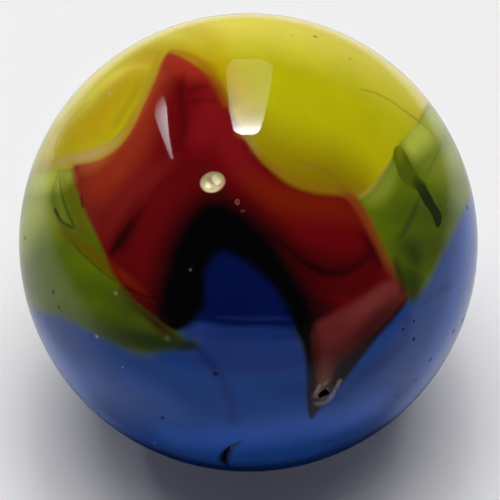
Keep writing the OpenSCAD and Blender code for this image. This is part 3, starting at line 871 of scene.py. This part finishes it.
class MARBLE_OT_ball(bpy.types.Operator):
    """Build the glass ball in place of the plain one"""
    bl_idname = "marble.ball"
    bl_label = "Glass Ball"

    def execute(self, context):
        ball = context.scene.marble_ball
        radius = ball.diameter / 2
        marks = self.marks()
        bm = cube_ball(ball.fineness)
        for split in SPLITS:
            refine(bm, marks, **split)
        mesh = mesh_from(bm, "glass_ball")
        mesh.polygons.foreach_set("use_smooth", np.ones(len(mesh.polygons), bool))
        p = self.read(mesh, "co")
        p /= np.linalg.norm(p, axis=1, keepdims=True)
        for name, outline in OUTLINES.items():
            self.keep(mesh, name + "_depth", depth_in(p, outline))
        for name, (core, trails) in TRAILS.items():
            self.keep(mesh, name, cover_of(p, trails, core))
        sunk = self.flaws(mesh, p, radius * 1000)
        turn = turned_up(ball.tilt).T
        mesh.vertices.foreach_set("co", (p * (radius - sunk * 0.001)[:, None] @ turn).ravel())
        mesh.update()
        uneven = nearest(p, np.concatenate([marks[kind] for kind in ("flaws", "crease", "spots")])) < UNEVEN
        normals = np.where(uneven[:, None], self.read(mesh, "normal"), p @ turn)
        mesh.normals_split_custom_set_from_vertices(normals)
        mesh.materials.append(laid_up_glass(context.scene.marble_glass))
        obj = link("glass_ball", mesh)
        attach(obj, "root")
        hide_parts(NODE)
        return {"FINISHED"}

    def marks(self):
        """Directions to everything that needs a finer mesh."""
        edges = np.concatenate([smoothed(rays(outline), True) for outline in OUTLINES.values()])
        trails = [trail for name in THREADS for trail in TRAILS[name][1]]
        return {
            "edges": edges,
            "lines": np.concatenate([edges, *(smoothed(rays(trail), False, 4) for trail in trails)]),
            "spots": rays(DARK_SPECKS + LIGHT_SPECKS),
            "flaws": rays(FLAWS),
            "crease": smoothed(rays(CREASE), False)}

    def flaws(self, mesh, p, radius):
        """How deep each direction is sunk below the ball. The radius is in millimetres, too."""
        along, across, up = (p @ axis for axis in level_axes(CUP, CUP_TURN))
        reach = radius * np.hypot(along / CUP_HALF_LENGTH, across / CUP_HALF_WIDTH)
        reach = np.where(up > 0, reach, FAR_OFF)
        self.keep(mesh, "cup_depth", (1 - reach) * CUP_REACH)
        sunk = CUP_DEPTH * bowl(reach, 1)
        sunk += DISH_DEPTH * bowl(angle_from(p, DISH) * radius, DISH_RADIUS)
        hollow = depth_in(p, HOLLOW)
        self.keep(mesh, "hollow_depth", hollow)
        sunk += HOLLOW_DEPTH * smoothstep((hollow + LIP) / WALL)

        widest = max(half for _, _, half in CREASE)
        slit = [(o, r, math.degrees(half / radius), half) for o, r, half in CREASE]
        gape = cover_of(p, [[(o, r, a * CREASE_SLOPE, 1) for o, r, a, _ in slit]], 0)
        depth = cover_of(p, [[(o, r, a, half / widest) for o, r, a, half in slit]], 0)
        sunk += CREASE_DEPTH * depth * gape
        # painted shade: the dark of the crease, kept as the crease attribute
        dark = [
            (o, r, a * SHADE_SPREAD, min(1, SHADE_PALEST + half * SHADE_GROWTH)) for o, r, a, half in slit]
        self.keep(mesh, "crease", cover_of(p, [dark], 0.1))

        for o, r, size, strength in DARK_SPECKS:
            sunk += PIT_DEPTH * strength * bowl(np.degrees(angle_from(p, (o, r))), size)
        out = np.degrees(angle_from(p, RING))
        sunk += RING_DEPTH * bowl(out - RING_RADIUS, RING_HALF_WIDTH)
        return sunk

    def read(self, mesh, what):
        flat = np.empty(len(mesh.vertices) * 3)
        mesh.vertices.foreach_get(what, flat)
        return flat.reshape(-1, 3)

    def keep(self, mesh, name, values):
        layer = mesh.attributes.new(name, "FLOAT", "POINT")
        layer.data.foreach_set("value", values.astype(np.float32))


# ---- the stage and the sidebar

class MARBLE_OT_stage(bpy.types.Operator):
    """Set the floor, the backdrop, the lamps and the camera"""
    bl_idname = "marble.stage"
    bl_label = "Stage"

    def execute(self, context):
        radius = context.scene.marble_ball.diameter / 2
        self.floor(context.scene.marble_stage.floor_tint, radius)
        self.lamps(context)
        self.camera(context)
        return {"FINISHED"}

    def floor(self, colour, radius):
        """A round floor whose edge sweeps up, lowest in front and highest behind."""
        bm = bmesh.new()
        grid = []
        for r, share in FLOOR_SECTION:
            row = []
            for k in range(FLOOR_TURNS):
                a = 2 * math.pi * k / FLOOR_TURNS
                back = (1 - math.cos(a)) / 2
                rise = math.radians(FRONT_RISE + (BACK_RISE - FRONT_RISE) * back ** RISE_EASE)
                height = share * (FLOOR_RADIUS * math.tan(rise))
                row.append(bm.verts.new((r * math.sin(a), -r * math.cos(a), -radius + height)))
            grid.append(row)
        for lower, upper in zip(grid, grid[1:]):
            for k in range(FLOOR_TURNS):
                j = (k + 1) % FLOOR_TURNS
                bm.faces.new((lower[k], lower[j], upper[j], upper[k]))
        bmesh.ops.remove_doubles(bm, verts=bm.verts, dist=1e-6)
        mesh = mesh_from(bm, "floor")
        for p in mesh.polygons:
            p.use_smooth = True
        mix = Mixer("pale_floor")
        mix.skin.inputs["Roughness"].default_value = 0.9
        mix.skin.inputs["Specular IOR Level"].default_value = 0.1
        mix.links.new(self.painted_shadow_in_the_glass(mix, colour, radius), mix.skin.inputs["Base Color"])
        mesh.materials.append(mix.material)
        link("floor", mesh)

    def painted_shadow_in_the_glass(self, mix, colour, radius):
        """Mirrored in the glass, the floor is painted with a shadow: darkest where the ball rests, darker in
        front of it and fading far from it; just behind the ball it is painted a little brighter.
        """
        place = mix.made("TexCoord").outputs["Object"]
        back = mix.made("SeparateXYZ", {0: place}).outputs["Y"]
        # the painted shadow is darkest a little in front of the ball's foot
        from_painted_shadow = mix.made("VectorMath", {0: place, 1: (0, 0.01, radius)}, operation="ADD").outputs[0]
        near, far = mix.length(from_painted_shadow), mix.length(place)
        # what the floor's level goes by, from where to where in metres, and the level at each end
        level = 1.0
        for by, start, end, first, last in (
                (near, 0.006, 0.020, 0.05, 0.60), (far, 0.045, 0.090, 1.0, 0.10),
                (back, -0.030, -0.012, 0.45, 1.0), (back, 0.012, 0.030, 1.0, 1.3)):
            level = mix.math("MULTIPLY", level, mix.ramp(by, start, end, first, last))
        plain = mix.plain(colour)
        mirrored = mix.made("LightPath").outputs["Is Glossy Ray"]
        return mix.mixed(mirrored, plain, mix.scaled(plain, level))

    def lamps(self, context):
        world = bpy.data.worlds.new("studio")
        context.scene.world = world
        world.use_nodes = True
        background = world.node_tree.nodes["Background"]
        background.inputs["Color"].default_value = (0.02, 0.02, 0.022, 1)
        background.inputs["Strength"].default_value = 1.0
        self.softbox("key_softbox", elevation=98, distance=0.6, size=(0.5, 0.5), radiance=4.5)
        self.softbox("fill_softbox", elevation=5, distance=0.6, size=(0.6, 0.2), radiance=1.6)
        self.panel("overhead_panel", OVERHEAD_PANEL, distance=0.3)
        self.panel("side_panel", SIDE_PANEL, distance=0.5)

    def panel(self, name, rungs, distance):
        """A glowing panel, drawn as rungs of a ladder. The glass mirrors it."""
        bm = bmesh.new()
        glow = bm.verts.layers.float.new("glow")
        rows = []
        for left, right, *strengths in rungs:
            rows.append([bm.verts.new(Vector(side).normalized() * distance) for side in (left, right)])
            for v, strength in zip(rows[-1], strengths):
                v[glow] = strength
        for a, b in zip(rows, rows[1:]):
            bm.faces.new((a[0], a[1], b[1], b[0]))
        mesh = mesh_from(bm, name)
        mix = Mixer(name)
        light = mix.made("Emission", {"Strength": mix.value("glow")}).outputs[0]
        mix.links.new(light, mix.nodes["Material Output"].inputs["Surface"])
        mix.nodes.remove(mix.skin)
        mesh.materials.append(mix.material)
        obj = link(name, mesh)
        obj.visible_camera = False

    def softbox(self, name, elevation, distance, size, radiance):
        """A rectangular lamp that faces the ball and isn't mirrored in it. Its elevation is in
        degrees from the front, over the top."""
        lamp = bpy.data.lights.new(name, "AREA")
        lamp.shape = "RECTANGLE"
        lamp.size, lamp.size_y = size
        # an area lamp of P watts and A square metres has a radiance of P / (pi * A)
        lamp.energy = radiance * math.pi * size[0] * size[1]
        obj = link(name, lamp)
        e = math.radians(elevation)
        way = Vector((0, -math.cos(e), math.sin(e)))
        obj.location = way * distance
        obj.rotation_mode = "QUATERNION"
        obj.rotation_quaternion = way.to_track_quat("Z", "Y")
        obj.visible_glossy = False

    def camera(self, context):
        data = bpy.data.cameras.new("camera")
        data.sensor_width = SENSOR
        data.lens = SENSOR * FOCAL_POINTS / VIEW
        data.clip_start = 0.01
        obj = link("camera", data)
        e = math.radians(CAMERA_RISE)
        back = Vector((0, -math.cos(e), math.sin(e)))
        up = Vector((0, math.sin(e), math.cos(e)))
        right = Vector((1, 0, 0))
        aim = -back + right * (AIM_RIGHT / FOCAL_POINTS) - up * (AIM_DOWN / FOCAL_POINTS)
        z = -aim.normalized()
        x = up.cross(z).normalized()
        y = z.cross(x)
        obj.location = back * CAMERA_DISTANCE
        obj.rotation_mode = "QUATERNION"
        obj.rotation_quaternion = Matrix((x, y, z)).transposed().to_quaternion()
        context.scene.camera = obj
        context.scene.view_settings.view_transform = "Standard"


class MARBLE_PT_panel(bpy.types.Panel):
    """Lists the marble's settings and the steps that build it"""
    bl_idname = "MARBLE_PT_panel"
    bl_label = "Glass Marble"
    bl_space_type = "VIEW_3D"
    bl_region_type = "UI"
    bl_category = "Marble"

    def draw(self, context):
        for name, group in SETTINGS.items():
            for setting in group.__annotations__:
                self.layout.prop(getattr(context.scene, name), setting)
        for step in STEPS:
            self.layout.operator(step.bl_idname)


SETTINGS = {"marble_ball": MarbleBall, "marble_glass": MarbleGlass, "marble_stage": MarbleStage}
STEPS = (MARBLE_OT_ball, MARBLE_OT_stage)
CLASSES = (*SETTINGS.values(), *STEPS, MARBLE_PT_panel)


def register():
    for cls in CLASSES:
        bpy.utils.register_class(cls)
    for name, group in SETTINGS.items():
        setattr(bpy.types.Scene, name, PointerProperty(type=group))


def unregister():
    for name in SETTINGS:
        delattr(bpy.types.Scene, name)
    for cls in reversed(CLASSES):
        bpy.utils.unregister_class(cls)


def main():
    register()
    bpy.ops.marble.ball()
    bpy.ops.marble.stage()


if __name__ == "__main__":
    main()
